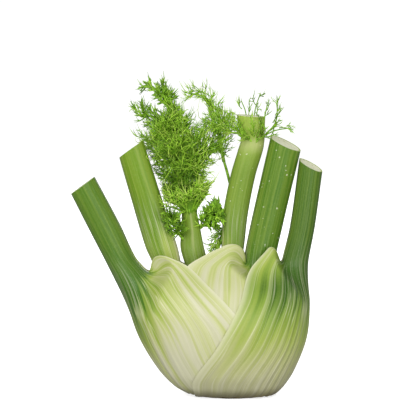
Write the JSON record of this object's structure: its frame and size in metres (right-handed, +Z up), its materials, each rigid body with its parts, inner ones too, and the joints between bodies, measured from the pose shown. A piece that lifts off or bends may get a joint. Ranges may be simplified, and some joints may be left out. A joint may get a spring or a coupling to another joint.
{
  "type": "fennel bulb",
  "caption": "Fresh fennel bulb of overlapping pale leaf bases on a flat trimmed root end, with cut green stalks and feathery young fronds, standing upright.",
  "frame": {"origin": "middle of the flat trimmed root end that the bulb stands on", "axes": "+Z up along the bulb, +X to the right along its broad side, -Y towards the side seen in the picture"},
  "size_m": [0.1405, 0.0682, 0.1778],
  "materials": {
    "outer_right_leaf": "waxy gloss",
    "outer_left_leaf": "waxy gloss",
    "inner_right_leaf": "waxy gloss",
    "inner_left_leaf": "waxy gloss",
    "heart_leaf": "waxy gloss",
    "young_stalk": "waxy gloss",
    "young_frond": "satin",
    "side_frond_right": "satin",
    "side_frond_left": "satin",
    "back_frond": "satin",
    "root_end": "matte"
  },
  "bodies": {
    "root": {"outer_right_leaf": "outer_right_leaf", "outer_left_leaf": "outer_left_leaf", "inner_right_leaf": "inner_right_leaf", "inner_left_leaf": "inner_left_leaf", "heart_leaf": "heart_leaf", "young_stalk": "young_stalk", "young_frond": "young_frond", "side_frond_right": "side_frond_right", "side_frond_left": "side_frond_left", "back_frond": "back_frond", "root_end": "root_end"}
  },
  "joints": []
}
